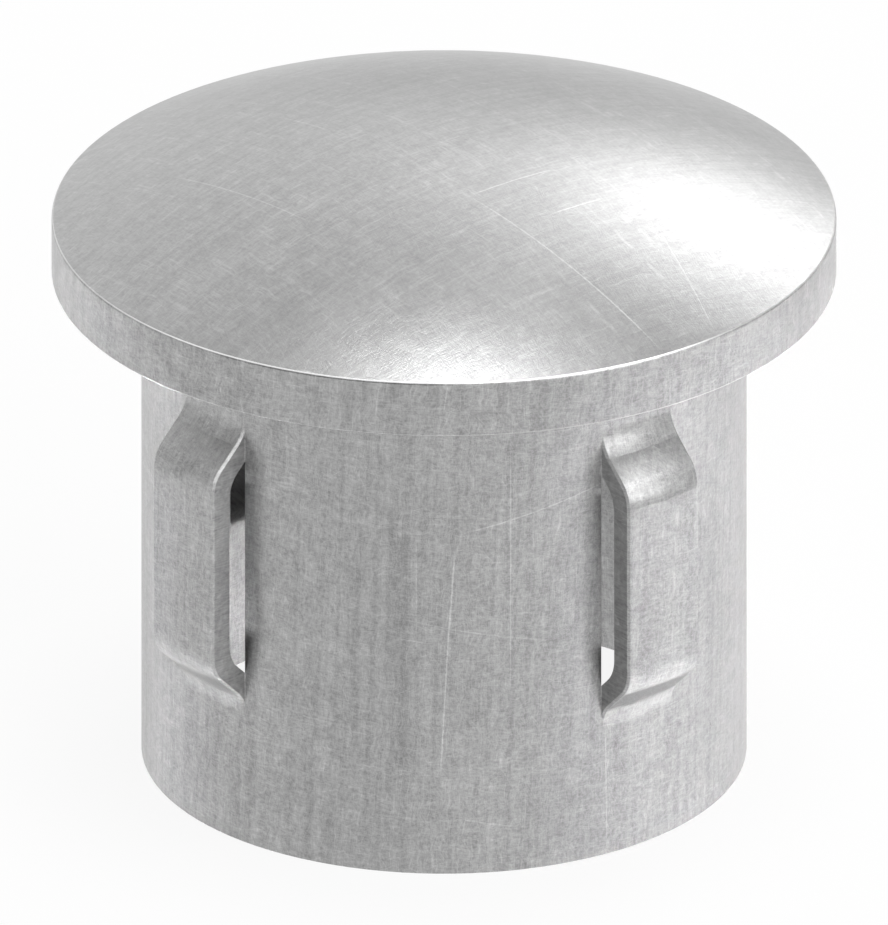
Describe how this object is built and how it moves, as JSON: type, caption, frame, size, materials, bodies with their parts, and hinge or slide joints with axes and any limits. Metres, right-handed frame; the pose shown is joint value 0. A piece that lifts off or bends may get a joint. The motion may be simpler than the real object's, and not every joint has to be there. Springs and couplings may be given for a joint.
{
  "type": "steel tube end cap",
  "caption": "Domed steel cap that closes the end of a round tube: a flush collar rests on the tube's end, and pressed-out spring lugs on its sleeve grip the bore.",
  "frame": {"origin": "on the axis, in the plane of the seat: the flat underside of the head, which lies on the end of the tube", "axes": "+Z along the axis, out of the tube and through the middle of the dome; the spring lugs stand on the X and Y axes"},
  "size_m": [0.0424, 0.0424, 0.0365],
  "materials": {
    "cap_steel": "bare light-grey steel, satin, cloudy, with fine scratches"
  },
  "bodies": {
    "root": {"end_cap": "cap_steel"}
  },
  "joints": []
}
